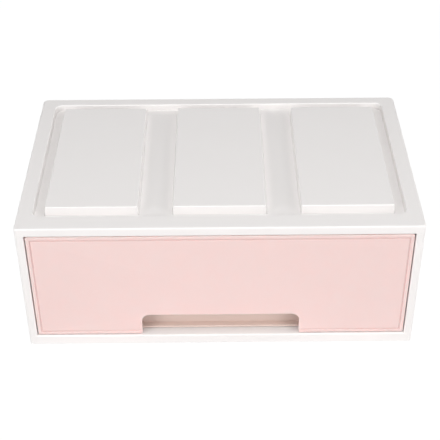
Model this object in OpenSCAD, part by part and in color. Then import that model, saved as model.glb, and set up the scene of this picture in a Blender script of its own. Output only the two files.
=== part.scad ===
// Stackable drawer box: a snapped-together plastic case with raised stacking pads on its lid,
// a matching pocket in its underside, and one drawer with a clip-on front and a finger cut-out.
// Millimetres. +Z is up, the drawer opens along -Y, the origin is at the bottom centre.
// Inside in_frame() the Y value of everything is its distance behind the front of the case.

/* [Case] */
// Width of the case
case_w = 330; // [280:1:400]
// Depth of the case, front to back
case_d = 201; // [180:1:260]
// Height of the case up to its rim
case_h = 125.5; // [110:0.5:170]
// Thickness of the side, back and base mouldings
wall = 2.4; // [2:0.1:3]
// Plan radius of the two front corners
front_corner_r = 2.6; // [2:0.1:4]
// Plan radius of the two rear corners
rear_corner_r = 5; // [4:0.5:8]
// Rounding of the outer edges
edge_r = 1.4; // [0.6:0.1:2]

/* [Front opening] */
// Width of each stile beside the drawer
stile_w = 7.2; // [6:0.1:10]
// Depth of the fold on the inner edge of a stile
stile_fold = 6; // [4:0.5:8]
// Height of the rail over the drawer
rail_h = 8.2; // [8:0.1:12]
// Height of the base, which is also the rail under the drawer
base_h = 9.5; // [8.5:0.1:12]
// Rounding of the rail edges at the opening
rail_edge_r = 1.4; // [0.5:0.1:1.6]

/* [Lid] */
// Thickness of the lid moulding
lid_wall = 2.2; // [1.8:0.1:2.4]
// Flat rim at each side of the recess
rim_side = 12.7; // [12:0.1:18]
// Flat rim in front of the recess
rim_front = 17.2; // [12:0.1:22]
// Flat rim behind the recess
rim_rear = 10.8; // [10:0.1:16]
// Depth of the recess below the rim
recess_depth = 5.7; // [4:0.1:5.8]
// Plan radius of the recess corners
recess_corner_r = 7; // [4:0.5:10]
// Number of raised pads
pad_count = 3; // [2:1:4]
// How far the pads stand above the rim
pad_proud = 2; // [1:0.1:3]
// Width of the groove around the set of pads
pad_groove = 7.6; // [6:0.1:12]
// Width of the channel between two pads
pad_channel = 25; // [15:0.5:30]
// Plan radius of the pad corners
pad_corner_r = 2.5; // [1.6:0.1:5]
// Draft of the pad walls, as the inward lean over their height
pad_draft = 2; // [0.5:0.1:2.5]
// Rounding of the top edges of the pads
pad_edge_r = 1.1; // [0.5:0.1:1.4]

/* [Underside] */
// Thickness of the ring that locates the pads of the box below
ring_t = 2; // [1.5:0.1:3]
// Clearance between that ring and the pads
pad_clearance = 0.8; // [0.5:0.1:1.5]
// Height of the low stiffening ribs
rib_h = 1.7; // [1:0.1:2]
// Thickness of the stiffening ribs
rib_t = 1.6; // [1.2:0.1:2.4]
// Free height under the ribs outside the ring
rib_foot = 1.5; // [1:0.1:3]

/* [Snap joints] */
// Thickness of the lap tongues that hold the panels together
tongue_t = 1.5; // [1.2:0.1:2]
// Reach of a tongue past its seam
tongue_reach = 5; // [4:0.5:5.5]
// Clearance between a tongue and the wall that it laps
tongue_clearance = 0.1; // [0.1:0.05:0.2]
// Length of a snap catch
catch_l = 12; // [8:1:16]
// Height of a snap catch
catch_h = 2; // [1.5:0.1:2.4]
// Clearance around a catch in its window
catch_clearance = 0.4; // [0.3:0.1:0.6]
// Width of the return at the rear edge of a side panel
rear_return = 12.2; // [10:0.1:16]
// Overlap of the back panel behind that return
back_lap = 6; // [4:0.5:6.5]

/* [Drawer front] */
// How far the drawer front sits behind the front of the case
front_inset = 1; // [0.5:0.1:2]
// Thickness of its face
face_t = 2.4; // [2:0.1:3]
// Thickness of its side, top and bottom flanges
flange_t = 2.1; // [1.6:0.1:2.2]
// Gap between the drawer front and a stile
gap_side = 0.8; // [0.6:0.1:1.5]
// Gap between the drawer front and the upper rail
gap_top = 1; // [0.6:0.1:2]
// Gap between the drawer front and the lower rail
gap_bottom = 1; // [0.8:0.1:2]
// Corner radius of the drawer front
front_r = 1.6; // [1:0.1:3]
// Rounding of the front edges of the face
face_edge_r = 1; // [0.5:0.1:1.5]
// Distance from the edge of the face to the line groove
line_inset = 2.7; // [2.4:0.1:6]
// Width of the line groove
line_w = 2; // [0.8:0.1:2.4]
// Depth of the line groove
line_depth = 0.5; // [0.3:0.1:1]
// Width of the finger cut-out
pull_w = 134; // [90:1:160]
// Height of the finger cut-out above the bottom of the face
pull_h = 21.5; // [20:0.1:30]
// Radius of the upper corners of the cut-out
pull_r = 7; // [4:0.5:10]
// Radius where the cut-out meets the bottom of the face
pull_foot_r = 1.5; // [0.5:0.1:3]

/* [Drawer tray] */
// Thickness of the tray floor and walls
tray_t = 2; // [1.8:0.1:2.4]
// Depth of the finger room between the face and the tray
finger_room = 10.6; // [9:0.1:16]
// Length of the floor ledge in front of the tray
ledge_l = 5.2; // [3:0.1:6]
// Gap between the rim of the tray and the upper rail
tray_headroom = 5.3; // [4.5:0.1:12]
// Width of the rim around the tray
tray_rim = 2; // [1.4:0.1:2.2]
// Draft of the tray walls over their height
tray_draft = 1; // [0.5:0.1:1.5]
// Radius of the vertical corners of the tray
tray_corner_r = 5; // [4:0.5:10]
// Radius along the bottom edges of the tray
tray_bottom_r = 2.6; // [2.2:0.1:4]
// Free space behind the tray when it is shut
tray_rear_gap = 3.2; // [2:0.1:6]

/* [Runners] */
// Height of the runner strips under the tray
runner_h = 0.45; // [0.3:0.05:0.6]
// Width of a runner strip
runner_w = 4; // [3:0.5:6]
// Distance of each runner strip from the centre line
runner_x = 118; // [90:1:125]
// Running clearance between the runner strips and the base
run_clearance = 0.3; // [0.3:0.05:0.6]
// Side clearance between the tray and its guide rails
guide_clearance = 0.6; // [0.4:0.1:1]
// Thickness of a guide rail
guide_t = 1.8; // [1.4:0.1:2.4]
// Height of a guide rail above the base
guide_h = 3.4; // [2.5:0.1:5]
// How far the drawer slides out before its stop
travel = 150; // [100:1:150]
// Thickness of the stop ribs and stop lugs
stop_t = 4; // [3:0.5:6]
// Distance of the stop ribs behind the front of the case
stop_y = 10; // [8:0.5:12]
// Free space at the stop when the drawer is fully out
stop_gap = 1; // [0.5:0.1:2]

/* [Front clips] */
// Width of a clip arm
clip_w = 10; // [8:1:14]
// Thickness of a clip arm
clip_t = 1.8; // [1.4:0.1:2.4]
// Height of the barb on a clip arm
barb_h = 1; // [0.6:0.1:1.2]
// Clearance of a clip in its slot
clip_clearance = 0.3; // [0.2:0.1:0.5]
// Distance of the clips from the centre line
clip_x = 100; // [85:1:120]

/* [Hidden] */
corner_steps = 5;   // straight pieces in a round corner
edge_steps = 3;     // straight pieces in a rounded edge
min_r = 0.05;       // what is left of a radius that an inset uses up
past = 1;           // how far a cutter runs past the face that it cuts
case_white = "#f4f0ee";
front_pink = "#f8d6d2";

half_w = case_w / 2;
rail_z = case_h - rail_h;
recess_z = case_h - recess_depth;
pad_top = case_h + pad_proud;

// Plan boxes: [half width, front y, rear y, front corner radius, rear corner radius]
case_plan = [half_w, 0, case_d, front_corner_r, rear_corner_r];
recess_plan = [half_w - rim_side, rim_front, case_d - rim_rear, recess_corner_r, recess_corner_r];
pads_plan = grow(recess_plan, -pad_groove);
pad_w = (2 * pads_plan[0] - (pad_count - 1) * pad_channel) / pad_count;
pad_plan = [pad_w / 2, pads_plan[1], pads_plan[2], pad_corner_r, pad_corner_r];
// How far the pad walls have leaned in at the height of the rim, where the ring of the next box fits
rim_lean = pad_draft * recess_depth / (pad_top - recess_z);

// The inner faces of the case walls
inner_x = half_w - wall;
inner_y = case_d - wall;
opening_x = half_w - stile_w;

// Drawer front: the face and the heights of its edges
front_x = opening_x - gap_side;
front_z0 = base_h + gap_bottom;
front_z1 = rail_z - gap_top;
face_back = front_inset + face_t;

// Drawer tray
tray_z = base_h + runner_h + run_clearance;
tray_y0 = face_back + finger_room;
tray_y1 = inner_y - tongue_clearance - tongue_t - tray_rear_gap;
tray_x = front_x - flange_t - clip_clearance;
tray_top = rail_z - tray_headroom;
tray_plan = [tray_x, tray_y0, tray_y1, tray_corner_r, tray_corner_r];
flange_y1 = tray_y0 + tray_t;
guide_x = tray_x - tray_draft + guide_clearance;
lug_y = stop_y + stop_t + stop_gap + travel;
lug_x0 = half_w - rim_side + lid_wall + guide_clearance;
lug_x1 = inner_x - tongue_clearance - tongue_t - guide_clearance;
lug_z = case_h - lid_wall - guide_clearance;

// ---------- shapes ----------

// A plan box grown by g on every side, its corners with it
function grow(b, g) =
    [b[0] + g, b[1] - g, b[2] + g, max(b[3] + g, min_r), max(b[4] + g, min_r)];

// A quarter circle about c, from angle a0
function corner(c, r, a0) =
    [for (i = [0:corner_steps]) let (a = a0 + 90 * i / corner_steps) c + r * [cos(a), sin(a)]];

// The outline of a plan box, anticlockwise from its right-hand rear corner
function outline(b) = concat(
    corner([b[0] - b[4], b[2] - b[4]], b[4], 0),
    corner([-b[0] + b[4], b[2] - b[4]], b[4], 90),
    corner([-b[0] + b[3], b[1] + b[3]], b[3], 180),
    corner([b[0] - b[3], b[1] + b[3]], b[3], 270));

// Layers of a loft that round the top edge at height z, or the bottom edge at height z
function top_edge(b, z, r) =
    [for (i = [0:edge_steps]) let (a = 90 * i / edge_steps)
        [z - r + r * sin(a), outline(grow(b, r * cos(a) - r))]];
function bottom_edge(b, z, r) =
    [for (i = [0:edge_steps]) let (a = 90 * i / edge_steps)
        [z + r - r * cos(a), outline(grow(b, r * sin(a) - r))]];

// Layers that flare a hollow outwards, to round the edge of its mouth at height z
function mouth(b, z, r) =
    [for (i = [0:edge_steps]) let (a = 90 * i / edge_steps)
        [z - r + r * sin(a), outline(grow(b, r - r * cos(a)))]];

// A solid through a stack of outlines, each with its height
module loft(layers) {
    n = len(layers[0][1]);
    m = len(layers);
    polyhedron(
        points = [for (layer = layers) for (p = layer[1]) [p[0], p[1], layer[0]]],
        faces = concat(
            [[for (i = [0:n - 1]) i]],
            [[for (i = [n - 1:-1:0]) (m - 1) * n + i]],
            [for (k = [0:m - 2]) for (i = [0:n - 1])
                [k * n + i, (k + 1) * n + i, (k + 1) * n + (i + 1) % n, k * n + (i + 1) % n]]));
}

// A plan box carried straight up from z0 to z1
module prism(b, z0, z1) {
    translate([0, 0, z0]) linear_extrude(z1 - z0) polygon(outline(b));
}

// A plain box from one corner to the other
module block(low, high) {
    translate(low) cube(high - low);
}

// Distances behind the front of the case become the model's own Y
module in_frame() {
    translate([0, -case_d / 2, 0]) children();
}

// The same thing at both sides
module both_sides() {
    children();
    mirror([1, 0, 0]) children();
}

// What is cut away to round an edge that runs along X at [0, y, z]; up and back are +1 or -1
module round_edge_x(l, y, z, r, back, up) {
    translate([-l / 2, y, z]) difference() {
        translate([0, back > 0 ? -past : -r, up > 0 ? -past : -r])
            cube([l, r + past, r + past]);
        translate([-past, back * r, up * r]) rotate([0, 90, 0])
            cylinder(r = r, h = l + 2 * past, $fn = 24);
    }
}

// Three places along a stretch, for catches and windows
function places(a, b) = [for (i = [1:3]) a + (b - a) * (2 * i - 1) / 6];
side_places = places(rim_front, case_d - rim_rear);
back_places = places(-pads_plan[0], pads_plan[0]);

// The windows that the catches snap into
window_l = catch_l + 2 * catch_clearance;
window_h = catch_h + 2 * catch_clearance;

// Catch heights at the upper seam, under the lid, and at the lower seam, over the base
upper_catch_z = rail_z + tongue_reach / 2;
lower_catch_z = base_h + tongue_reach / 2;

// Wedge-shaped catches on the wall at x = inner_x, pointing inwards
module side_catches(z) {
    for (y = side_places)
        translate([inner_x, y, z]) rotate([90, 0, 0])
            linear_extrude(catch_l, center = true)
                polygon([[past / 2, -catch_h / 2], [-tongue_t * 0.6, 0], [past / 2, catch_h / 2]]);
}

// Windows through a tongue beside that wall
module side_windows(z) {
    for (y = side_places)
        translate([inner_x - tongue_t, y, z])
            cube([3 * tongue_t, window_l, window_h], center = true);
}

// The same on the back wall at y = inner_y
module back_catches(z) {
    for (x = back_places)
        translate([x, inner_y, z]) rotate([90, 0, 90])
            linear_extrude(catch_l, center = true)
                polygon([[past / 2, -catch_h / 2], [-tongue_t * 0.6, 0], [past / 2, catch_h / 2]]);
}

module back_windows(z) {
    for (x = back_places)
        translate([x, inner_y - tongue_t, z])
            cube([window_l, 3 * tongue_t, window_h], center = true);
}

// ---------- case ----------

// One pad at each place across the lid
module at_pads() {
    for (i = [0:pad_count - 1])
        translate([(i - (pad_count - 1) / 2) * (pad_w + pad_channel), 0, 0]) children();
}

// The recess in the lid, with a rounded floor edge and a rounded mouth
module recess() {
    loft(concat(
        bottom_edge(recess_plan, recess_z, edge_r),
        mouth(recess_plan, case_h, edge_r / 2),
        [[case_h + past, outline(grow(recess_plan, edge_r / 2))]]));
}

module pad() {
    loft(concat(
        [[recess_z - past / 2, outline(pad_plan)]],
        top_edge(grow(pad_plan, -pad_draft), pad_top, pad_edge_r)));
}

// The lid is one shell: rim, recess and pads are hollow from below
module top_cover() {
    hollow_z0 = rail_z - past;
    color(case_white) in_frame() {
        difference() {
            union() {
                difference() {
                    loft(concat([[rail_z, outline(case_plan)]], top_edge(case_plan, case_h, edge_r)));
                    recess();
                }
                at_pads() pad();
            }
            prism(grow(case_plan, -wall), hollow_z0, recess_z - lid_wall);
            difference() {
                prism(grow(case_plan, -wall), hollow_z0, case_h - lid_wall);
                prism(grow(recess_plan, lid_wall), hollow_z0 - past, case_h);
            }
            at_pads() loft([[hollow_z0, outline(grow(pad_plan, -lid_wall))],
                            [pad_top - lid_wall, outline(grow(pad_plan, -lid_wall - pad_draft))]]);
            round_edge_x(2 * opening_x, 0, rail_z, rail_edge_r, 1, 1);
        }
        // Stop ribs under the side rims, which the lugs of the tray meet
        both_sides() block([recess_plan[0] + lid_wall - past, stop_y, rail_z + rail_edge_r],
                           [lug_x1, stop_y + stop_t, case_h - lid_wall / 2]);
        both_sides() side_catches(upper_catch_z);
        back_catches(upper_catch_z);
    }
}

// The plan of the right-hand side panel: a wall with a stile in front and a return behind
module side_profile() {
    difference() {
        polygon(outline(case_plan));
        polygon(outline(grow(case_plan, -wall)));
        translate([-case_w, -past]) square([case_w + opening_x, case_d / 2 + 2 * past]);
        translate([-case_w, case_d / 2]) square([case_w + half_w - rear_return, case_d]);
    }
    translate([opening_x, wall / 2]) square([wall * 0.75, stile_fold - wall / 2]);
}

module side_panel() {
    difference() {
        union() {
            translate([0, 0, base_h]) linear_extrude(rail_z - base_h) side_profile();
            // The tongue that goes up inside the lid
            block([inner_x - tongue_clearance - tongue_t, rim_front, rail_z - tongue_reach],
                  [inner_x - tongue_clearance, case_d - rim_rear, rail_z + tongue_reach]);
            block([inner_x - tongue_t, rim_front, rail_z - tongue_reach],
                  [inner_x + wall / 2, case_d - rim_rear, rail_z - tongue_clearance]);
        }
        side_windows(upper_catch_z);
        // The inner edge of the stile is rounded
        translate([opening_x, 0, base_h - past]) difference() {
            translate([-past, -past, 0]) cube([past + rail_edge_r, past + rail_edge_r, case_h]);
            translate([rail_edge_r, rail_edge_r, -past])
                cylinder(r = rail_edge_r, h = case_h + 2 * past, $fn = 24);
        }
    }
    side_catches(lower_catch_z);
}

module right_side_panel() {
    color(case_white) in_frame() side_panel();
}

module left_side_panel() {
    color(case_white) in_frame() mirror([1, 0, 0]) side_panel();
}

// The back is flush between the returns of the side panels, and laps behind them
module back_panel() {
    back_x = half_w - rear_return - tongue_clearance;
    tongue_y1 = inner_y - tongue_clearance;
    color(case_white) in_frame() {
        difference() {
            union() {
                block([-back_x, inner_y, base_h], [back_x, case_d, rail_z]);
                block([-pads_plan[0], tongue_y1 - tongue_t, rail_z - tongue_reach],
                      [pads_plan[0], tongue_y1, rail_z + tongue_reach]);
                block([-pads_plan[0], tongue_y1 - tongue_t, rail_z - tongue_reach],
                      [pads_plan[0], case_d - wall / 2, rail_z - tongue_clearance]);
                // Lap strips behind the returns
                both_sides() block([pads_plan[0] + past, tongue_y1 - tongue_t, base_h + 2 * tongue_reach],
                                   [back_x + back_lap, tongue_y1, rail_z - 2 * tongue_reach]);
                both_sides() block([pads_plan[0] + past, tongue_y1 - tongue_t, base_h + 2 * tongue_reach],
                                   [back_x, case_d - wall / 2, rail_z - 2 * tongue_reach]);
            }
            back_windows(upper_catch_z);
        }
        back_catches(lower_catch_z);
    }
}

// A ring and low ribs under the base take the pads of the box below
module underside() {
    pads_at_rim = grow(pads_plan, -rim_lean);
    ring_plan = [pads_at_rim[0] + pad_clearance, pads_at_rim[1] - pad_clearance,
                 pads_at_rim[2] + pad_clearance, pad_corner_r, pad_corner_r];
    plate_z = base_h - wall;
    rib_top = plate_z + past / 2;
    difference() {
        prism(grow(ring_plan, ring_t), 0, rib_top);
        prism(ring_plan, -past, plate_z + past);
    }
    // A low grid inside the ring
    rib_y = places(ring_plan[1], ring_plan[2]);
    rib_x = places(-ring_plan[0], ring_plan[0]);
    for (y = [rib_y[0], rib_y[2]])
        block([-ring_plan[0] - past, y - rib_t / 2, plate_z - rib_h],
              [ring_plan[0] + past, y + rib_t / 2, rib_top]);
    for (x = rib_x)
        block([x - rib_t / 2, ring_plan[1] - past, plate_z - rib_h],
              [x + rib_t / 2, ring_plan[2] + past, rib_top]);
    // Taller ribs from the ring to the skirt, which stay clear of the rim of the box below
    for (x = rib_x) {
        block([x - rib_t / 2, wall - past, rib_foot], [x + rib_t / 2, ring_plan[1] - past, rib_top]);
        block([x - rib_t / 2, ring_plan[2] + past, rib_foot], [x + rib_t / 2, inner_y + past, rib_top]);
    }
    for (y = rib_y) both_sides()
        block([ring_plan[0] + past, y - rib_t / 2, rib_foot], [inner_x + past, y + rib_t / 2, rib_top]);
}

module base_panel() {
    tongue_x1 = inner_x - tongue_clearance;
    tongue_y1 = inner_y - tongue_clearance;
    color(case_white) in_frame() {
        difference() {
            union() {
                difference() {
                    loft(concat(bottom_edge(case_plan, 0, edge_r / 2), [[base_h, outline(case_plan)]]));
                    prism(grow(case_plan, -wall), -past, base_h - wall);
                    round_edge_x(2 * opening_x, 0, base_h, rail_edge_r, 1, -1);
                }
                underside();
                // Tongues that go up inside the side and back panels
                both_sides() block([tongue_x1 - tongue_t, rim_front, base_h - wall / 2],
                                   [tongue_x1, case_d - rim_rear, base_h + tongue_reach]);
                block([-pads_plan[0], tongue_y1 - tongue_t, base_h - wall / 2],
                      [pads_plan[0], tongue_y1, base_h + tongue_reach]);
                // Guide rails beside the tray
                both_sides() block([guide_x, flange_y1 + guide_clearance, base_h - wall / 2],
                                   [guide_x + guide_t, tray_y1, base_h + guide_h]);
            }
            both_sides() side_windows(lower_catch_z);
            back_windows(lower_catch_z);
        }
    }
}

// ---------- drawer ----------

// Where the clips of the drawer front pass through the tray: [x, z]
clip_z0 = front_z0 + pull_h;
clip_z1 = front_z1 - pull_h;
slot_h = clip_t + barb_h + 2 * clip_clearance;
clip_spots = [for (x = [-clip_x, clip_x]) for (z = [clip_z0, clip_z1]) [x, z]];

module tray_shell() {
    foot = grow(tray_plan, -tray_draft);
    inside = grow(tray_plan, -tray_t);
    difference() {
        union() {
            loft(concat(bottom_edge(foot, tray_z, tray_bottom_r), [[tray_top, outline(tray_plan)]]));
            // The rim runs round the sides and the back
            difference() {
                prism(grow(tray_plan, tray_rim), tray_top - tray_t, tray_top);
                block([-case_w, -past, 0], [case_w, flange_y1 + run_clearance, case_h]);
            }
            // The front wall is square and taller, for the drawer front to slip over
            block([-tray_x + tray_draft, tray_y0, tray_z + tray_bottom_r],
                  [tray_x - tray_draft, flange_y1, front_z1 - flange_t - clip_clearance]);
        }
        loft(concat(
            bottom_edge(grow(inside, -tray_draft), tray_z + tray_t, tray_bottom_r),
            [[tray_top, outline(inside)], [case_h, outline(inside)]]));
    }
}

module drawer_tray() {
    ledge_x = tray_x - tray_draft - tray_bottom_r;
    color(case_white) in_frame() {
        difference() {
            union() {
                tray_shell();
                // The floor runs on in front as a ledge under the finger room
                block([-ledge_x, tray_y0 - ledge_l, tray_z],
                      [ledge_x, tray_y0 + tray_bottom_r, tray_z + tray_t]);
                // Runner strips under the floor, which slide on the base
                both_sides() block([runner_x - runner_w / 2, tray_y0, tray_z - runner_h],
                                   [runner_x + runner_w / 2, tray_y1 - tray_draft - tray_bottom_r,
                                    tray_z + tray_t / 2]);
            }
            for (spot = clip_spots)
                translate([spot[0], tray_y0, spot[1] + barb_h / 2])
                    cube([clip_w + 2 * clip_clearance, 4 * tray_t, slot_h], center = true);
        }
        // Stop lugs near the rear: a foot on the rim, and a horn that travels under the side rim of the lid
        both_sides() block([tray_x - tray_t, lug_y, tray_top - 4 * tray_t],
                           [lug_x1, lug_y + stop_t, tray_top + tray_t]);
        both_sides() block([lug_x0, lug_y, tray_top],
                           [lug_x1, lug_y + stop_t, lug_z]);
    }
}

// The plan of the drawer front, seen from the front: y is the height here
front_plan = [front_x, front_z0, front_z1, front_r, front_r];

// Stands a shape that was drawn flat upright, so that its z becomes the distance towards the viewer
module upright() {
    rotate([90, 0, 0]) children();
}

module pull_profile() {
    top = front_z0 + pull_h;
    x = pull_w / 2;
    polygon(concat(
        corner([x - pull_r, top - pull_r], pull_r, 0),
        corner([-x + pull_r, top - pull_r], pull_r, 90),
        [for (i = [0:corner_steps]) let (a = 90 * i / corner_steps)
            [-x - pull_foot_r + pull_foot_r * cos(a), front_z0 + pull_foot_r - pull_foot_r * sin(a)]],
        [[-x - pull_foot_r, 0], [x + pull_foot_r, 0]],
        [for (i = [corner_steps:-1:0]) let (a = 90 * i / corner_steps)
            [x + pull_foot_r - pull_foot_r * cos(a), front_z0 + pull_foot_r - pull_foot_r * sin(a)]]));
}

module clip() {
    block([-clip_w / 2, face_back - past / 2, -clip_t / 2],
          [clip_w / 2, flange_y1 + barb_h + clip_clearance, clip_t / 2]);
    translate([0, flange_y1 + clip_clearance / 2, 0]) rotate([90, 0, 90])
        linear_extrude(clip_w, center = true)
            polygon([[0, 0], [0, clip_t / 2 + barb_h], [barb_h, clip_t / 2], [barb_h, 0]]);
}

module drawer_front() {
    color(front_pink) in_frame() {
        difference() {
            upright() loft(concat([[-flange_y1, outline(front_plan)]],
                                  top_edge(front_plan, -front_inset, face_edge_r)));
            // Open at the back, between the flanges
            upright() prism(grow(front_plan, -flange_t), -flange_y1 - past, -face_back);
            // Between the side flanges, the bottom one stops in front of the ledge of the tray
            block([flange_t - front_x, tray_y0 - ledge_l - clip_clearance, 0],
                  [front_x - flange_t, case_d, front_z0 + flange_t + past]);
            upright() translate([0, 0, -case_d]) linear_extrude(case_d + past) pull_profile();
            // The line groove that frames the face
            upright() difference() {
                prism(grow(front_plan, -line_inset), -front_inset - line_depth, past);
                prism(grow(front_plan, -line_inset - line_w), -front_inset - face_t, 2 * past);
            }
        }
        for (spot = clip_spots) translate([spot[0], 0, spot[1]]) clip();
    }
}

top_cover();
left_side_panel();
right_side_panel();
back_panel();
base_panel();
drawer_tray();
drawer_front();
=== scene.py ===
"""Dresses the stackable drawer box: smooth mouldings, satin plastics, a pale set and soft light.

Lengths are in metres. X runs to the right, Y from the front to the back and Z up.
"""

from __future__ import annotations

import logging
import math
from dataclasses import dataclass
from enum import Enum
from typing import ClassVar, Mapping, Sequence

import bmesh
import bpy
import numpy as np
from mathutils import Matrix, Vector
from mathutils.geometry import tessellate_polygon

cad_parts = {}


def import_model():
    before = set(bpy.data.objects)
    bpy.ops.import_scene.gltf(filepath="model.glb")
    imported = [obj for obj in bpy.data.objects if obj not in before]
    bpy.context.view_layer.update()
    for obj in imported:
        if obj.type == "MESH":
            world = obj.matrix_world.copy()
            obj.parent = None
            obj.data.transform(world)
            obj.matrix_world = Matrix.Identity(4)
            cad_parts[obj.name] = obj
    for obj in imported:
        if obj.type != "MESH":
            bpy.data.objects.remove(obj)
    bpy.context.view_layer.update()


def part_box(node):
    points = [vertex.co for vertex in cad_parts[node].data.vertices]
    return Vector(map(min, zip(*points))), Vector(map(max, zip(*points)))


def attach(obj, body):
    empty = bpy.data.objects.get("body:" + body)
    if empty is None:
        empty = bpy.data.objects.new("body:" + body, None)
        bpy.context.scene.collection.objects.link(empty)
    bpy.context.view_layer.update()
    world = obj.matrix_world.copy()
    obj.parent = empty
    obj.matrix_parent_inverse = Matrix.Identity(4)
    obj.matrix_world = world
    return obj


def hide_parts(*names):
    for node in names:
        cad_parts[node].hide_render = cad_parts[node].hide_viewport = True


LOG = logging.getLogger("drawer_box")
MM = 0.001

MERGE = 0.002 * MM
OVERLAP = 0.02 * MM
PAST = 1 * MM
ARC_STEPS = 10
EDGE_STEPS = 6
BAR_STEPS = 3
GROOVE_STEPS = 12
BAR_EDGE = 0.15 * MM
BAR_EDGE_SHARE = 0.3

BLEND_ANGLE = math.radians(38)
SQUARE = 1 - 1e-6
FLAT_PULL = 1000.0
EDGE_GAIN = 3.4
HOLLOW = -1e-4

GRAIN_DETAIL = 3.0
WAVE_DETAIL = 2.0
NOISE_MEAN = 0.5

PHOTO_SIDE = 440
SENSOR = 36.0
CLIP = (0.01, 50.0)

Range = tuple[float, float]
Corner = tuple[float, float, float]
Colour = tuple[float, float, float]
Term = bpy.types.NodeSocket | float | Colour


# ---------- outlines, profiles and surfaces ----------


class Stand(Enum):
    """How a shape that was drawn flat stands in the box."""

    LYING = "lying"
    UPRIGHT = "upright"
    ACROSS = "across"

    def place(self, points: np.ndarray) -> np.ndarray:
        """Turns drawn points (a, b, h) into X, Y and Z.

        Lying, a is X, b is Y and h is Z. Upright, a is X, b is Z and h points towards the viewer in front.
        Across, a is Y, b is Z and h is X.

        Args:
            points: An array whose last axis holds a, b and h.

        Returns:
            The same array in X, Y and Z.
        """
        a, b, h = np.moveaxis(points, -1, 0)
        if self is Stand.UPRIGHT:
            return np.stack([a, -h, b], axis=-1)
        if self is Stand.ACROSS:
            return np.stack([h, a, b], axis=-1)
        return points


@dataclass(frozen=True)
class Outline:
    """A closed outline of straight sides at right angles: its sharp corners, anticlockwise, and the radii."""

    corners: tuple[Range, ...]
    radii: tuple[float, ...]

    @classmethod
    def drawn(cls, corners: Sequence[Corner], side: int = 1) -> "Outline":
        """An outline through corners (a, b, radius), or with a side of -1 its mirror image in a = 0."""
        order = corners[::side]
        return cls(tuple((side * a, b) for a, b, _ in order), tuple(r for _, _, r in order))

    def _directions(self) -> tuple[np.ndarray, np.ndarray]:
        """Unit vectors of the side before and the side after each corner."""
        points = np.array(self.corners)
        after = np.roll(points, -1, axis=0) - points
        after /= np.linalg.norm(after, axis=1, keepdims=True)
        return np.roll(after, 1, axis=0), after

    def _turns(self) -> np.ndarray:
        """+1 at a corner that turns left and stands out, -1 at one that turns right."""
        before, after = self._directions()
        return np.sign(before[:, 0] * after[:, 1] - before[:, 1] * after[:, 0])

    def grown(self, by: float | np.ndarray) -> "Outline":
        """The outline with each side moved outwards along its normal, and its radii with it.

        Args:
            by: One distance, or one for each side. Side i runs from corner i to corner i + 1.

        Returns:
            The grown outline. A radius that would go below zero becomes zero.
        """
        after_by = np.broadcast_to(np.asarray(by, float), (len(self.corners),))
        before_by = np.roll(after_by, 1)
        before, after = self._directions()
        out_before = np.stack([before[:, 1], -before[:, 0]], axis=1)
        out_after = np.stack([after[:, 1], -after[:, 0]], axis=1)
        moved = np.array(self.corners) + out_before * before_by[:, None] + out_after * after_by[:, None]
        change = self._turns() * np.minimum(before_by, after_by)
        radii = np.maximum(np.array(self.radii) + change, 0.0)
        return Outline(tuple(map(tuple, moved)), tuple(radii))

    def ring(self, steps: int = ARC_STEPS) -> np.ndarray:
        """Points round the outline, with the same number of points on every corner.

        At corner c with radius r, the side d before it and the inward normal n of that side, the arc is
        P(t) = c - r d + s r n (1 - cos t) + r d sin t, for t from 0 to a right angle and s the turn.

        Args:
            steps: The number of straight pieces on a corner.

        Returns:
            An array of shape (corners * (steps + 1), 2).
        """
        t = np.linspace(0.0, math.pi / 2, steps + 1)[None, :, None]
        before, _ = self._directions()
        inward = np.stack([-before[:, 1], before[:, 0]], axis=1)[:, None, :]
        side = before[:, None, :]
        corner = np.array(self.corners)[:, None, :]
        r = np.array(self.radii)[:, None, None]
        s = self._turns()[:, None, None]
        arc = corner - r * side + s * r * inward * (1 - np.cos(t)) + r * side * np.sin(t)
        return arc.reshape(-1, 2)


def rectangle(a: Range, b: Range, r: float | Sequence[float]) -> Outline:
    """A rectangle with round corners.

    Args:
        a: Its lowest and highest a.
        b: Its lowest and highest b.
        r: One radius, or four, for the corners (a1, b0), (a1, b1), (a0, b1) and (a0, b0).

    Returns:
        The outline, whose sides are right, rear, left and front.
    """
    radii = tuple(np.broadcast_to(np.asarray(r, float), (4,)))
    return Outline(((a[1], b[0]), (a[1], b[1]), (a[0], b[1]), (a[0], b[0])), radii)


def mirrored(side: int, near: float, far: float) -> Range:
    """The stretch between two distances from the middle, on the side +1 or -1, lowest first."""
    low, high = sorted((side * near, side * far))
    return low, high


def inset(stretch: Range) -> Range:
    """A stretch that is a hair shorter at both ends, so that no faces lie in one plane."""
    return stretch[0] + OVERLAP, stretch[1] - OVERLAP


def rounded(corners: Sequence[Corner], steps: int = EDGE_STEPS) -> np.ndarray:
    """A profile of (growth, height) points through corners that are each rounded by their own radius.

    At a corner P with the unit directions u in and v out, the profile turns by the angle w between them.
    Its arc is P - u r tan(w / 2) + n r (1 - cos t) + u r sin t for t from 0 to w, where n is the normal
    of u on the side of v.

    Args:
        corners: The growth, height and radius of each corner. The first and the last stay sharp.
        steps: The number of straight pieces on an arc.

    Returns:
        An array of shape (m, 2).
    """
    path = np.array([corner[:2] for corner in corners])
    into = np.diff(path, axis=0)
    into /= np.linalg.norm(into, axis=1, keepdims=True)
    parts = [path[:1]]
    for point, u, v, (_, _, r) in zip(path[1:-1], into[:-1], into[1:], corners[1:-1]):
        cross = u[0] * v[1] - u[1] * v[0]
        turn = math.atan2(abs(cross), float(u @ v))
        normal = math.copysign(1.0, cross) * np.array([-u[1], u[0]])
        t = np.linspace(0.0, turn, steps + 1)[:, None]
        start = point - u * r * math.tan(turn / 2)
        parts.append(start + normal * r * (1 - np.cos(t)) + u * r * np.sin(t) if r else point[None])
    parts.append(path[-1:])
    return np.concatenate(parts)


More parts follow.
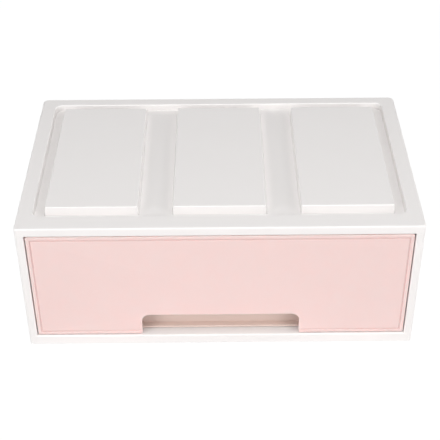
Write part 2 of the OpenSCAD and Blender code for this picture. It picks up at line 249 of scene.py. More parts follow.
def growth_of(row: np.ndarray) -> float | np.ndarray:
    """The growth in a profile row: one number, or one for each side of the outline."""
    return row[0] if len(row) == 2 else row[:-1]


class Moulding:
    """Collects swept and flat surfaces, and turns them into one closed mesh."""

    def __init__(self, stand: Stand = Stand.LYING) -> None:
        """Starts an empty moulding.

        Args:
            stand: How its drawn points stand in the box.
        """
        self.stand = stand
        self.points: list[np.ndarray] = []
        self.faces: list[tuple[int, ...]] = []
        self.count = 0

    def _add(self, points: np.ndarray, faces: np.ndarray) -> None:
        """Adds drawn points and the faces between them.

        Args:
            points: The points, with a, b and h on the last axis.
            faces: The points of each face, numbered from the first of these points.
        """
        self.points.append(self.stand.place(points.reshape(-1, 3)))
        self.faces.extend(map(tuple, (faces + self.count).tolist()))
        self.count += len(self.points[-1])

    def sweep(self, rings: Sequence[np.ndarray], heights: Sequence[float], inwards: bool = False) -> None:
        """The surface S(u, v) whose point u lies on ring v at the height of that ring.

        Args:
            rings: Outlines with equally many points, each of shape (n, 2).
            heights: The height of each ring.
            inwards: True for a surface whose material is outside the rings.
        """
        m, n = len(rings), len(rings[0])
        points = np.empty((m, n, 3))
        points[..., :2] = np.stack(rings)
        points[..., 2] = np.asarray(heights, float)[:, None]
        v, u = np.meshgrid(np.arange(m - 1), np.arange(n), indexing="ij")
        w = (u + 1) % n
        quads = np.stack([v * n + u, v * n + w, (v + 1) * n + w, (v + 1) * n + u], axis=-1).reshape(-1, 4)
        self._add(points, quads[:, ::-1] if inwards else quads)

    def trace(self, parts: Sequence[tuple[Outline, np.ndarray]], inwards: bool = False,
              steps: int = ARC_STEPS) -> None:
        """One surface whose profile is carried round several outlines, one after the other.

        Args:
            parts: Each outline with its profile rows, which end in a height. Before it comes the growth
                of the outline, or one growth for each of its sides.
            inwards: True for a surface whose material is outside the outlines.
            steps: The number of straight pieces on a corner.
        """
        rows = [(outline, row) for outline, profile in parts for row in profile]
        rings = [outline.grown(growth_of(row)).ring(steps) for outline, row in rows]
        self.sweep(rings, [row[-1] for _, row in rows], inwards)

    def solid(self, outline: Outline, profile: np.ndarray, steps: int = ARC_STEPS) -> None:
        """A profile that is carried round one outline, and closed by a flat face at both ends.

        Args:
            outline: The outline.
            profile: The profile rows as for trace, from the face that points down to the one that points up.
            steps: The number of straight pieces on a corner.
        """
        self.trace([(outline, profile)], steps=steps)
        for row, up in ((profile[0], False), (profile[-1], True)):
            self.flat(outline.grown(growth_of(row)).ring(steps), row[-1], up=up)

    def flat(self, outer: np.ndarray, height: float, holes: Sequence[np.ndarray] = (),
             up: bool = True) -> None:
        """A flat face at one height, inside an outline and outside its holes.

        Args:
            outer: The outer ring, of shape (n, 2).
            height: The height of the face.
            holes: The rings of its holes.
            up: Whether it faces up, or towards the viewer when the shape is upright.
        """
        loops = [outer, *holes]
        flat = np.concatenate(loops)
        points = np.concatenate([flat, np.full((len(flat), 1), height)], axis=1)
        keep = [np.linalg.norm(loop - np.roll(loop, 1, axis=0), axis=1) > MERGE for loop in loops]
        starts = np.cumsum([0, *map(len, loops[:-1])])
        chosen = [start + np.flatnonzero(mask) for start, mask in zip(starts, keep)]
        order = np.concatenate(chosen)
        drawn = [[Vector((*flat[i], 0.0)) for i in part] for part in chosen]
        triangles = order[np.array(tessellate_polygon(drawn))]
        first, second = (flat[triangles[:, k]] - flat[triangles[:, 0]] for k in (1, 2))
        area = first[:, 0] * second[:, 1] - first[:, 1] * second[:, 0]
        wrong = (area > 0) != up
        triangles[wrong] = triangles[wrong][:, ::-1]
        self._add(points, triangles)

    def slab(self, a: Range, b: Range, h: Range, r: float = BAR_EDGE) -> None:
        """A closed bar with rounded edges.

        Args:
            a: Its lowest and highest a.
            b: Its lowest and highest b.
            h: Its lower and upper height.
            r: The radius of its edges, which a thin bar makes smaller.
        """
        r = min(r, *(BAR_EDGE_SHARE * (high - low) for low, high in (a, b, h)))
        profile = rounded([(-r, h[0], 0), (0, h[0], r), (0, h[1], r), (-r, h[1], 0)], BAR_STEPS)
        self.solid(rectangle(a, b, r), profile, BAR_STEPS)

    def build(self, name: str) -> bpy.types.Object:
        """Makes the object and merges its seams.

        Args:
            name: The name of the piece.

        Returns:
            The new object, at the origin.
        """
        mesh = bpy.data.meshes.new(name)
        mesh.from_pydata(np.concatenate(self.points).tolist(), [], self.faces)
        shape = bmesh.new()
        shape.from_mesh(mesh)
        bmesh.ops.remove_doubles(shape, verts=shape.verts, dist=MERGE)
        bmesh.ops.dissolve_degenerate(shape, dist=MERGE, edges=shape.edges)
        shape.to_mesh(mesh)
        shape.free()
        mesh.validate()
        piece = bpy.data.objects.new(name, mesh)
        bpy.context.scene.collection.objects.link(piece)
        return piece


def edge_cutter(half: float, y: float, z: float, r: float, up: int) -> bpy.types.Object:
    """The bar that is taken away to round an edge that runs along X, at the front of a piece.

    Its section is the corner of a square outside the quarter circle (r - r sin t, r - r cos t).

    Args:
        half: Half the length of the rounded stretch.
        y: The front of the piece.
        z: The height of the edge.
        r: The radius.
        up: 1 where the piece is above the edge, and -1 where it is below.

    Returns:
        The cutter.
    """
    t = np.linspace(0.0, math.pi / 2, EDGE_STEPS + 1)
    arc = np.stack([r - r * np.sin(t), r - r * np.cos(t)], axis=1)
    section = np.concatenate([[[-PAST, -PAST], [r, -PAST]], arc, [[-PAST, r]]]) * [1, up] + [y, z]
    section = section[::up]
    shape = Moulding(Stand.ACROSS)
    shape.sweep([section, section], [-half, half])
    shape.flat(section, -half, up=False)
    shape.flat(section, half)
    return shape.build("edge_cutter")


def cut(piece: bpy.types.Object, cutter: bpy.types.Object) -> None:
    """Cuts one closed shape out of another, and removes the cutter.

    Args:
        piece: The piece to cut.
        cutter: The closed shape that is taken away.
    """
    tool = piece.modifiers.new("cut", "BOOLEAN")
    tool.operation = "DIFFERENCE"
    tool.solver = "EXACT"
    tool.use_self = True
    tool.object = cutter
    with bpy.context.temp_override(object=piece, active_object=piece):
        bpy.ops.object.modifier_apply(modifier=tool.name)
    bpy.data.objects.remove(cutter)


def read(items: bpy.types.bpy_prop_collection, name: str, width: int = 1, kind: type = float) -> np.ndarray:
    """Reads one property of all items of a mesh.

    Args:
        items: The points, corners or faces of the mesh, or the values of an attribute.
        name: The property.
        width: How many numbers it has for each item.
        kind: The kind of number.

    Returns:
        An array with a number for each item, or with a row for each where there are more.
    """
    values = np.empty(len(items) * width, kind)
    items.foreach_get(name, values)
    return values.reshape(-1, width) if width > 1 else values


def even_normals(mesh: bpy.types.Mesh) -> None:
    """Shades flats flat and rounds smooth, and stores how far each corner is from flat as "edge".

    The corner of face f at a vertex gets n = unit(sum of w n') over the faces there whose normals n' lie
    within the blend angle of f. The weight w is the area, many times more for a face square to an axis.
    Its edge value is the gain times one less the largest part of n, so it is 1 in the middle of a rounding.
    It is negative in a hollow, where neighbours lean towards each other: there (c' - c) . (n' - n), over
    the distance of the centres c' and c and summed over the same faces, is below zero.

    Args:
        mesh: The finished mesh.
    """
    corners, faces = len(mesh.loops), len(mesh.polygons)
    vertex = read(mesh.loops, "vertex_index", kind=np.int32)
    normal, middle = (read(mesh.polygons, name, 3) for name in ("normal", "center"))
    face = np.repeat(np.arange(faces), read(mesh.polygons, "loop_total", kind=np.int32))
    weight = read(mesh.polygons, "area") * np.where(np.abs(normal).max(axis=1) > SQUARE, FLAT_PULL, 1.0)

    sharers = np.bincount(vertex)
    by_vertex = np.argsort(vertex, kind="stable")
    first = np.cumsum(sharers) - sharers
    pairs = sharers[vertex]
    mine = np.repeat(np.arange(corners), pairs)
    step = np.arange(len(mine)) - np.repeat(np.cumsum(pairs) - pairs, pairs)
    own, other = face[mine], face[by_vertex[first[vertex[mine]] + step]]
    near = (normal[own] * normal[other]).sum(axis=1) > math.cos(BLEND_ANGLE)
    pull = weight[other] * near
    total = np.stack([np.bincount(mine, pull * normal[other, k], corners) for k in range(3)], axis=1)
    total /= np.linalg.norm(total, axis=1, keepdims=True)

    apart = middle[other] - middle[own]
    opening = (apart * (normal[other] - normal[own])).sum(axis=1)
    opening *= near / np.maximum(np.linalg.norm(apart, axis=1), MERGE)
    sign = np.where(np.bincount(mine, opening, corners) < HOLLOW, -1.0, 1.0)
    # Above zero the edge value masks the polish and a painted highlight, below zero painted shade in hollows.
    edge = mesh.attributes.new("edge", "FLOAT", "CORNER")
    edge.data.foreach_set("value", sign * np.clip(EDGE_GAIN * (1 - np.abs(total).max(axis=1)), 0, 1))
    mesh.shade_smooth()
    mesh.normals_split_custom_set(total.tolist())


# ---------- finishes ----------


def feed(tree: bpy.types.NodeTree, node: bpy.types.Node, inputs: Mapping[str | int, Term]) -> None:
    """Links or sets inputs of a node.

    Args:
        tree: The tree that the node is in.
        node: The node.
        inputs: A socket, a number or a colour for each input, by its name or place.
    """
    for key, term in inputs.items():
        socket = node.inputs[key]
        if isinstance(term, bpy.types.NodeSocket):
            tree.links.new(term, socket)
        else:
            socket.default_value = (*term, 1.0) if socket.type == "RGBA" else term


def add_node(tree: bpy.types.NodeTree, kind: str, inputs: Mapping[str | int, Term] | None = None,
             **settings: object) -> bpy.types.Node:
    """Adds a node.

    Args:
        tree: The tree to add it to.
        kind: Its type.
        inputs: What feeds its inputs.
        settings: Its own settings.

    Returns:
        The node.
    """
    node = tree.nodes.new(kind)
    for name, value in settings.items():
        setattr(node, name, value)
    feed(tree, node, inputs or {})
    return node


def compute(tree: bpy.types.NodeTree, kind: str, *terms: Term) -> bpy.types.NodeSocket:
    """The result of a Math node of that kind, whose terms are sockets or numbers."""
    return add_node(tree, "ShaderNodeMath", dict(enumerate(terms)), operation=kind).outputs[0]


def blend(tree: bpy.types.NodeTree, factor: Term, first: Term, second: Term) -> bpy.types.NodeSocket:
    """The colour of a Mix node, which goes from the first to the second with the factor."""
    inputs = {"Factor": factor, "A": first, "B": second}
    return add_node(tree, "ShaderNodeMix", inputs, data_type="RGBA").outputs["Result"]


def moulded_surface() -> bpy.types.NodeTree:
    """The shader group that every plastic shares: moulded grain, slow waves, and smoother edges.

    Returns:
        The node group. It takes the grain size, wave size, wave share, roughness, spread and edge polish.
        It puts out a height and a roughness, and from 0 to 1 a mottle, an edge mask for a painted highlight
        and a hollow mask for painted shade.
    """
    name = "moulded_surface"
    if name in bpy.data.node_groups:
        return bpy.data.node_groups[name]
    group = bpy.data.node_groups.new(name, "ShaderNodeTree")
    for way, titles in (
        ("INPUT", ("Grain Size", "Wave Size", "Wave Share", "Roughness", "Spread", "Edge Polish")),
        ("OUTPUT", ("Height", "Roughness", "Mottle", "Edge", "HollowShade")),
    ):
        for title in titles:
            group.interface.new_socket(title, in_out=way, socket_type="NodeSocketFloat")
    given = add_node(group, "NodeGroupInput").outputs
    place = add_node(group, "ShaderNodeTexCoord").outputs["Object"]
    edge = add_node(group, "ShaderNodeAttribute", attribute_name="edge").outputs["Fac"]

    def noise(size: str, detail: float) -> bpy.types.NodeSocket:
        """Noise, less its mean.

        Args:
            size: The input that gives the size of its lumps.
            detail: How many finer layers it has.

        Returns:
            The noise.
        """
        inputs = {"Vector": place, "Scale": compute(group, "DIVIDE", 1.0, given[size]), "Detail": detail}
        lumps = add_node(group, "ShaderNodeTexNoise", inputs).outputs["Fac"]
        return compute(group, "SUBTRACT", lumps, NOISE_MEAN)

    grain, wave = noise("Grain Size", GRAIN_DETAIL), noise("Wave Size", WAVE_DETAIL)
    # The edge mask drives the polish and a painted highlight; the hollow mask drives painted shade.
    raised = compute(group, "MAXIMUM", edge, 0.0)
    polish = compute(group, "MULTIPLY", raised, given["Edge Polish"])
    varied = compute(group, "MULTIPLY_ADD", wave, given["Spread"], given["Roughness"])
    add_node(group, "NodeGroupOutput", {
        "Height": compute(group, "MULTIPLY_ADD", wave, given["Wave Share"], grain),
        "Roughness": compute(group, "SUBTRACT", varied, polish),
        "Mottle": compute(group, "ADD", wave, NOISE_MEAN),
        "Edge": raised,
        "HollowShade": compute(group, "SUBTRACT", raised, edge),
    })
    return group


@dataclass(frozen=True)
class Plastic:
    """A moulded plastic: its linear colours, its sheen and its grain.

    The mottle leans from the colour to the shade. Rounded edges lean to a lighter colour, a painted
    highlight, and hollows to a darker one, painted shade. The roughness varies by the spread, and the edges
    are smoother by the polish. The waves are wave_share times as high as the grain. A share of the light,
    glow_through, spreads inside as deep as glow_depth. Up to a given Y the surface takes on a painted pink
    reflection, which stands for the light that a face close before it throws back.
    """

    name: str
    slot: str
    colour: Colour
    shade: Colour
    edge_highlight: Colour
    hollow_shade: Colour = (0.7, 0.68, 0.66)
    roughness: float = 0.42
    spread: float = 0.12
    polish: float = 0.06
    grain: float = 0.7 * MM
    wave: float = 26 * MM
    wave_share: float = 5.0
    grain_height: float = 0.012 * MM
    specular: float = 0.45
    glow_through: float = 0.0
    glow_depth: float = 4 * MM
    painted_bounce: Colour | None = None
    painted_bounce_y: float = 0.0

    def material(self) -> bpy.types.Material:
        """Builds the material once.

        Returns:
            The material, with a Principled BSDF fed by the shared group.
        """
        if self.name in bpy.data.materials:
            return bpy.data.materials[self.name]
        material = bpy.data.materials.new(self.name)
        material.use_nodes = True
        tree = material.node_tree
        surface = add_node(tree, "ShaderNodeGroup", node_tree=moulded_surface())
        feed(tree, surface, {
            "Grain Size": self.grain, "Wave Size": self.wave, "Wave Share": self.wave_share,
            "Roughness": self.roughness, "Spread": self.spread, "Edge Polish": self.polish,
        })
        tint = self.colour
        # Mottle is random tone; the lighter edge colour is a painted highlight, the darker hollow colour
        # painted shade.
        for title, colour in (("Mottle", self.shade), ("Edge", self.edge_highlight), ("HollowShade", self.hollow_shade)):
            tint = blend(tree, surface.outputs[title], tint, colour)
        # Painted pink reflection up to a given Y, standing for light thrown back by the pink face in front.
        if self.painted_bounce:
            place = add_node(tree, "ShaderNodeTexCoord").outputs["Object"]
            y = add_node(tree, "ShaderNodeSeparateXYZ", {0: place}).outputs["Y"]
            tint = blend(tree, compute(tree, "LESS_THAN", y, self.painted_bounce_y), tint, self.painted_bounce)
        bump = add_node(tree, "ShaderNodeBump",
                        {"Height": surface.outputs["Height"], "Distance": self.grain_height})
        feed(tree, tree.nodes["Principled BSDF"], {
            "Base Color": tint,
            "Roughness": surface.outputs["Roughness"],
            "Normal": bump.outputs["Normal"],
            "Specular IOR Level": self.specular,
            "Subsurface Weight": self.glow_through,
            "Subsurface Scale": self.glow_depth,
            "Subsurface Radius": tuple(part / self.colour[0] for part in self.colour),
        })
        return material


# Each plastic: its colour, its random mottle shade, a lighter edge colour that is a painted highlight on
# roundings, and a darker hollow colour that is painted shade.
CASE_WHITE = Plastic("satin_white", "case_plastic", (0.905, 0.880, 0.868), (0.895, 0.868, 0.855),
                     edge_highlight=(0.965, 0.945, 0.935), hollow_shade=(0.76, 0.735, 0.72))
# The tray's front wall takes a painted pink reflection, standing for light that the pink face throws back.
TRAY_WHITE = Plastic("tray_white", "tray_plastic", (0.895, 0.865, 0.845), (0.885, 0.853, 0.832),
                     edge_highlight=(0.96, 0.94, 0.92), roughness=0.38,
                     painted_bounce=(0.83, 0.665, 0.595), painted_bounce_y=-85.8 * MM)
# Its darker hollow colour is also the painted shade in the fine line of the face.
FRONT_PINK = Plastic("pale_pink", "front_plastic", (0.968, 0.697, 0.671), (0.960, 0.684, 0.657),
                     edge_highlight=(0.98, 0.76, 0.73), hollow_shade=(0.66, 0.42, 0.40),
                     roughness=0.36, grain=0.5 * MM, glow_through=0.6)


# ---------- sizes ----------


@dataclass(frozen=True)
class Sizes:
    """The sizes that the pieces share, in metres. The overall box comes from the frame."""

    half: float
    front: float
    rear: float
    rim: float
    wall: float = 2.4 * MM
    front_corner: float = 2.6 * MM
    rear_corner: float = 5 * MM
    edge: float = 1.4 * MM
    seam: float = 0.18 * MM
    rail: float = 8.2 * MM
    rail_edge: float = 1.4 * MM
    base: float = 9.5 * MM
    stile: float = 7.2 * MM
    rear_return: float = 12.2 * MM
    rim_side: float = 12.7 * MM
    rim_front: float = 17.2 * MM
    rim_rear: float = 10.8 * MM
    recess_corner: float = 7 * MM
    groove: float = 7.6 * MM
    lid_wall: float = 2.2 * MM
    tongue: float = 1.5 * MM
    tongue_reach: float = 5 * MM
    tongue_gap: float = 0.1 * MM
    front_inset: float = 1 * MM
    front_depth: float = 16 * MM
    front_flange: float = 2.1 * MM
    gap_side: float = 0.8 * MM
    gap_top: float = 1 * MM
    gap_bottom: float = 1 * MM
    pull_rise: float = 21.5 * MM
    tray_front: float = 14 * MM
    tray_rise: float = 0.75 * MM
    tray_wall: float = 2 * MM
    tray_draft: float = 1 * MM
    tray_headroom: float = 5.3 * MM
    tray_gap: float = 0.3 * MM
    tray_rear_gap: float = 3.2 * MM
    ledge: float = 5.2 * MM
    runner: float = 4 * MM
    guide_gap: float = 0.6 * MM

    @property
    def rail_z(self) -> float:
        """The underside of the lid, where the sides meet it."""
        return self.rim - self.rail

    @property
    def case(self) -> Outline:
        """The outline of the case in plan."""
        radii = (self.front_corner, self.rear_corner, self.rear_corner, self.front_corner)
        return rectangle((-self.half, self.half), (self.front, self.rear), radii)

    @property
    def recess(self) -> Outline:
        """The outline of the recess in the lid."""
        side = self.half - self.rim_side
        return rectangle((-side, side), self.seam_stretch, self.recess_corner)

    @property
    def inner(self) -> float:
        """Half the width between the side walls."""
        return self.half - self.wall

    @property
    def inner_rear(self) -> float:
        """The Y of the inner face of the rear wall."""
        return self.rear - self.wall

    @property
    def pads_half(self) -> float:
        """Half the width of the set of pads."""
        return self.half - self.rim_side - self.groove

    @property
    def side_tongue(self) -> Range:
        """How far from the middle the tongues beside the side walls lie."""
        far = self.inner - self.tongue_gap
        return far - self.tongue, far

    @property
    def rear_tongue(self) -> Range:
        """Where the tongues at the rear wall lie along Y."""
        far = self.inner_rear - self.tongue_gap
        return far - self.tongue, far

    @property
    def seam_stretch(self) -> Range:
        """Where the recess and the side tongues run along Y."""
        return self.front + self.rim_front, self.rear - self.rim_rear

    @property
    def opening(self) -> float:
        """Half the width between the stiles."""
        return self.half - self.stile

    @property
    def face(self) -> float:
        """Half the width of the drawer front."""
        return self.opening - self.gap_side

    @property
    def face_z(self) -> Range:
        """The lower and the upper edge of the drawer front."""
        return self.base + self.gap_bottom, self.rail_z - self.gap_top

    @property
    def tray_half(self) -> float:
        """Half the width of the tray at its top."""
        return self.face - self.front_flange - self.tray_gap

    @property
    def tray_foot(self) -> float:
        """Half the width of the tray at its bottom."""
        return self.tray_half - self.tray_draft

    @property
    def tray_floor(self) -> float:
        """The underside of the floor of the tray."""
        return self.base + self.tray_rise

    @property
    def tray_top(self) -> float:
        """The top of the rim of the tray."""
        return self.rail_z - self.tray_headroom

    @property
    def tray_rear(self) -> float:
        """The rear of the tray when it is shut."""
        return self.rear_tongue[0] - self.tray_rear_gap

    @property
    def lug_x(self) -> Range:
        """How far from the middle the stop lugs reach, between the hollow rim's inner and outer walls."""
        near = self.half - self.rim_side + self.lid_wall + self.guide_gap
        return near, self.side_tongue[0] - self.guide_gap

    def y(self, behind_front: float) -> float:
        """The Y of a place at that distance behind the front of the case."""
        return self.front + behind_front


@dataclass
class Part:
    """What the mouldings share: the sizes, the plastic and the body that they move with."""

    sizes: Sizes
    plastic: Plastic
    body: ClassVar[str] = "case"
    stand: ClassVar[Stand] = Stand.LYING

    def __post_init__(self) -> None:
        """Starts the moulding that the methods add to."""
        self.shape = Moulding(self.stand)

    def dress(self, piece: bpy.types.Object, node: str) -> None:
        """Shades a piece, gives it its material and its body, and hides the CAD node that it stands for.

        Args:
            piece: The new piece.
            node: The CAD node that it stands for.
        """
        even_normals(piece.data)
        piece.data.materials.append(self.plastic.material())
        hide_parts(node)
        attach(piece, self.body)
        LOG.info("%s: %d points, rides on %s", piece.name, len(piece.data.vertices), self.body)


# ---------- the case ----------


@dataclass
class Lid(Part):
    """The lid: a flat rim, a sunk recess and three raised pads, hollow from below."""

    depth: float = 5.7 * MM
    proud: float = 2 * MM
    channel: float = 25 * MM
    pads: int = 3
    pad_corner: float = 2.5 * MM
    pad_draft: float = 2 * MM
    pad_side_draft: float = 0.6 * MM
    pad_edge: float = 1.2 * MM
    pad_foot: float = 1.2 * MM
    recess_draft: float = 0.6 * MM
    recess_edge: float = 1 * MM
    recess_foot: float = 0.2 * MM
    stop_y: float = 10 * MM
    stop: float = 4 * MM
    stop_bite: float = 1 * MM

    def pad_outlines(self) -> list[Outline]:
        """The outlines of the pads where their walls meet the recess floor."""
        pads = self.sizes.recess.grown(-self.sizes.groove)
        stretch = (pads.corners[0][1], pads.corners[1][1])
        left, right = pads.corners[2][0], pads.corners[0][0]
        width = (right - left - (self.pads - 1) * self.channel) / self.pads
        starts = left + np.arange(self.pads) * (width + self.channel)
        return [rectangle((start, start + width), stretch, self.pad_corner) for start in starts]

    def shell(self) -> None:
        """The rim and the recess as one profile: up the tub, out, down and up the wall, in and down again.

        The pads stand on the floor of the recess. Their sides are steeper than their ends.
        """
        s, shape = self.sizes, self.shape
        ceiling, floor = s.rim - s.lid_wall, s.rim - self.depth
        under = floor - s.lid_wall
        top, hollow_top = s.rim + self.proud, s.rim + self.proud - s.lid_wall
        tub = s.recess.grown(s.lid_wall)
        tub_wall = rounded([(0, under, 0), (0, ceiling, 0)])
        wall = rounded([(-s.wall, ceiling, 0), (-s.wall, s.rail_z, s.seam), (0, s.rail_z, s.seam),
                        (0, s.rim, s.edge), (-2 * s.edge, s.rim, 0)])
        dip = rounded([(2 * self.recess_edge, s.rim, 0), (0, s.rim, self.recess_edge),
                       (-self.recess_draft, floor, self.recess_foot),
                       (-self.recess_draft - self.recess_foot, floor, 0)])
        shape.trace([(tub, tub_wall), (s.case, wall), (s.recess, dip)])
        rise = rounded([(self.pad_foot, floor, 0), (0, floor, self.pad_foot),
                        (-self.pad_draft, top, self.pad_edge), (-self.pad_draft - self.pad_edge, top, 0)])
        steeper = (self.pad_draft - self.pad_side_draft) * (top - rise[:, 1]) / (top - floor)
        sides, ends = rise[:, 0] - steeper, rise[:, 0]
        rise = np.stack([sides, ends, sides, ends, rise[:, 1]], axis=1)
        hollow = rounded([(-s.lid_wall, under, 0), (-s.lid_wall - self.pad_draft, hollow_top, 0)])
        pads = self.pad_outlines()
        for pad in pads:
            shape.trace([(pad, rise)])
            shape.flat(pad.grown(rise[-1, :4]).ring(), top)
            shape.trace([(pad, hollow)], inwards=True)
            shape.flat(pad.grown(hollow[-1, 0]).ring(), hollow_top, up=False)
        feet = [pad.grown(rise[0, :4]).ring() for pad in pads]
        mouths = [pad.grown(hollow[0, 0]).ring() for pad in pads]
        shape.flat(s.recess.grown(dip[-1, 0]).ring(), floor, feet)
        shape.flat(tub.ring(), under, mouths, up=False)

    def build(self) -> None:
        """Makes the lid, with the stop ribs under its side rims and the rounded rail over the drawer."""
        s, shape = self.sizes, self.shape
        self.shell()
        near = s.half - s.rim_side + s.lid_wall - self.stop_bite
        for side in (-1, 1):
            shape.slab(mirrored(side, near, s.lug_x[1]), (s.y(self.stop_y), s.y(self.stop_y + self.stop)),
                       (s.rail_z + s.rail_edge, s.rim - s.lid_wall / 2))
        lid = shape.build("lid")
        cut(lid, edge_cutter(s.opening, s.front, s.rail_z, s.rail_edge, 1))
        self.dress(lid, "top_cover")


@dataclass
class SidePanel(Part):
    """A side wall with its stile in front, a return behind and the tongue that goes up into the lid."""

    fold: float = 6 * MM
    fold_wall: float = 1.8 * MM
    fold_edge: float = 0.4 * MM

    def section(self, side: int) -> Outline:
        """The plan of the wall, drawn anticlockwise.

        Args:
            side: 1 for the right-hand side and -1 for the left.

        Returns:
            The outline.
        """
        s = self.sizes
        fold = s.opening + self.fold_wall
        return Outline.drawn([
            (s.half, s.front, s.front_corner),
            (s.half, s.rear, s.rear_corner),
            (s.half - s.rear_return, s.rear, s.seam),
            (s.half - s.rear_return, s.inner_rear, s.seam),
            (s.inner, s.inner_rear, s.rear_corner - s.wall),
            (s.inner, s.y(s.wall), s.seam),
            (fold, s.y(s.wall), s.seam),
            (fold, s.y(self.fold), self.fold_edge),
            (s.opening, s.y(self.fold), self.fold_edge),
            (s.opening, s.front, s.rail_edge),
        ], side)

    def build(self, side: int, name: str, node: str) -> None:
        """Makes one side panel.

        Args:
            side: 1 for the right-hand side and -1 for the left.
            name: The name of the piece.
            node: The CAD node that it stands for.
        """
        s, shape = self.sizes, self.shape
        shape.solid(self.section(side), rounded([
            (-s.seam, s.base, 0), (0, s.base, s.seam), (0, s.rail_z, s.seam), (-s.seam, s.rail_z, 0),
        ]))
        low, high = s.rail_z - s.tongue_reach, s.rail_z + s.tongue_reach
        shape.slab(mirrored(side, *s.side_tongue), s.seam_stretch, (low, high))
        root = mirrored(side, s.side_tongue[0] + OVERLAP, s.inner + s.wall / 2)
        shape.slab(root, inset(s.seam_stretch), (low + OVERLAP, s.rail_z - s.tongue_gap))
        self.dress(shape.build(name), node)


@dataclass
class BackPanel(Part):
    """The rear wall, flush between the returns of the side panels, with strips that lap behind them."""

    lap: float = 6 * MM
    lap_clear: float = 10 * MM
    lap_gap: float = 1 * MM

    def build(self) -> None:
        """Makes the back panel."""
        s, shape = self.sizes, self.shape
        half = s.half - s.rear_return - s.tongue_gap
        near, far = s.rear_tongue
        root = (near + OVERLAP, s.rear - s.wall / 2)
        low, high = s.rail_z - s.tongue_reach, s.rail_z + s.tongue_reach
        shape.slab((-half, half), (s.inner_rear, s.rear), (s.base, s.rail_z), s.seam)
        shape.slab((-s.pads_half, s.pads_half), (near, far), (low, high))
        shape.slab(inset((-s.pads_half, s.pads_half)), root, (low + OVERLAP, s.rail_z - s.tongue_gap))
        strip = (s.base + self.lap_clear, s.rail_z - self.lap_clear)
        start = s.pads_half + self.lap_gap
        for side in (-1, 1):
            shape.slab(mirrored(side, start, half + self.lap), (near, far), strip)
            shape.slab(mirrored(side, *inset((start, half))), root, inset(strip))
        self.dress(shape.build("back_wall"), "back_panel")


@dataclass
class Base(Part):
    """The floor of the case: the rail in front, a skirt, and the pocket for the pads of a box below."""

    pad_lean: float = 1.48 * MM
    ring: float = 2 * MM
    ring_corner: float = 2.5 * MM
    ring_gap: float = 0.8 * MM
    ring_edge: float = 0.3 * MM
    ribs: int = 3
    rib: float = 1.6 * MM
    low_rib: float = 1.7 * MM
    rib_foot: float = 1.5 * MM
    rib_root: float = 1 * MM
    skirt_edge: float = 0.7 * MM
    guide: float = 1.8 * MM
    guide_rise: float = 3.4 * MM
    guide_edge: float = 0.5 * MM

    def shell(self) -> None:
        """The skirt and the floor plate as one profile: down inside the skirt, out, up and over."""
        s, shape = self.sizes, self.shape
        under = s.base - s.wall
        shape.solid(s.case, rounded([
            (-s.wall, under, 0), (-s.wall, 0, self.ring_edge), (0, 0, self.skirt_edge),
            (0, s.base, s.seam), (-s.seam, s.base, 0),
        ]))

    def underside(self) -> None:
        """The locating ring, the low grid inside it and the ribs out to the skirt."""
        s, shape = self.sizes, self.shape
        under = s.base - s.wall
        top, half, bite = under + self.rib_root, self.rib / 2, self.rib_root
        plan = s.recess.grown(-s.groove - self.pad_lean + self.ring_gap)
        plan = Outline(plan.corners, (self.ring_corner,) * 4)
        edge = self.ring_edge
        ring = [(0, top, 0), (0, 0, edge), (self.ring, 0, edge), (self.ring, top, 0), (0, top, 0)]
        shape.trace([(plan, rounded(ring))])
        (x1, y0), (_, y1), (x0, _), _ = plan.corners
        skirt, low = s.half - s.wall + bite, under - self.low_rib
        ribs_x, ribs_y = (np.linspace(a, b, 2 * self.ribs + 1)[1::2] for a, b in ((x0, x1), (y0, y1)))
        for y in ribs_y[::2]:
            shape.slab((x0 - bite, x1 + bite), (y - half, y + half), (low, top))
        for x in ribs_x:
            across = (x - half, x + half)
            shape.slab(across, (y0 - bite, y1 + bite), (low, top - OVERLAP))
            shape.slab(across, (s.y(s.wall) - bite, y0 - bite), (self.rib_foot, top))
            shape.slab(across, (y1 + bite, s.inner_rear + bite), (self.rib_foot, top))
        for y in ribs_y:
            for side in (-1, 1):
                shape.slab(mirrored(side, x1 + bite, skirt), (y - half, y + half), (self.rib_foot, top))

    def floor_parts(self) -> None:
        """The tongues and the guide rails on the floor."""
        s, shape = self.sizes, self.shape
        root = s.base - s.wall / 2
        guide = s.tray_foot + s.guide_gap
        guide_stretch = (s.y(s.front_depth) + s.guide_gap, s.tray_rear)
        for side in (-1, 1):
            shape.slab(mirrored(side, *s.side_tongue), s.seam_stretch, (root, s.base + s.tongue_reach))
            shape.slab(mirrored(side, guide, guide + self.guide), guide_stretch,
                       (root, s.base + self.guide_rise), self.guide_edge)
        shape.slab((-s.pads_half, s.pads_half), s.rear_tongue, (root, s.base + s.tongue_reach))

    def build(self) -> None:
        """Makes the base, with the rounded rail under the drawer."""
        s, shape = self.sizes, self.shape
        self.shell()
        self.underside()
        self.floor_parts()
        base = shape.build("base")
        cut(base, edge_cutter(s.opening, s.front, s.base, s.rail_edge, -1))
        self.dress(base, "base_panel")


# ---------- the drawer ----------


@dataclass(frozen=True)
class Clips:
    """The four clips of the drawer front and the slots that they pass through."""

    across: float = 100 * MM
    width: float = 10 * MM
    thick: float = 1.8 * MM
    barb: float = 1 * MM
    edge: float = 0.3 * MM
    clearance: float = 0.3 * MM

    def spots(self, sizes: Sizes) -> list[Range]:
        """The places of the clips.

        Args:
            sizes: The shared sizes.

        Returns:
            The X and Z of each clip.
        """
        low, high = sizes.face_z
        heights = (low + sizes.pull_rise, high - sizes.pull_rise)
        return [(side * self.across, z) for side in (-1, 1) for z in heights]


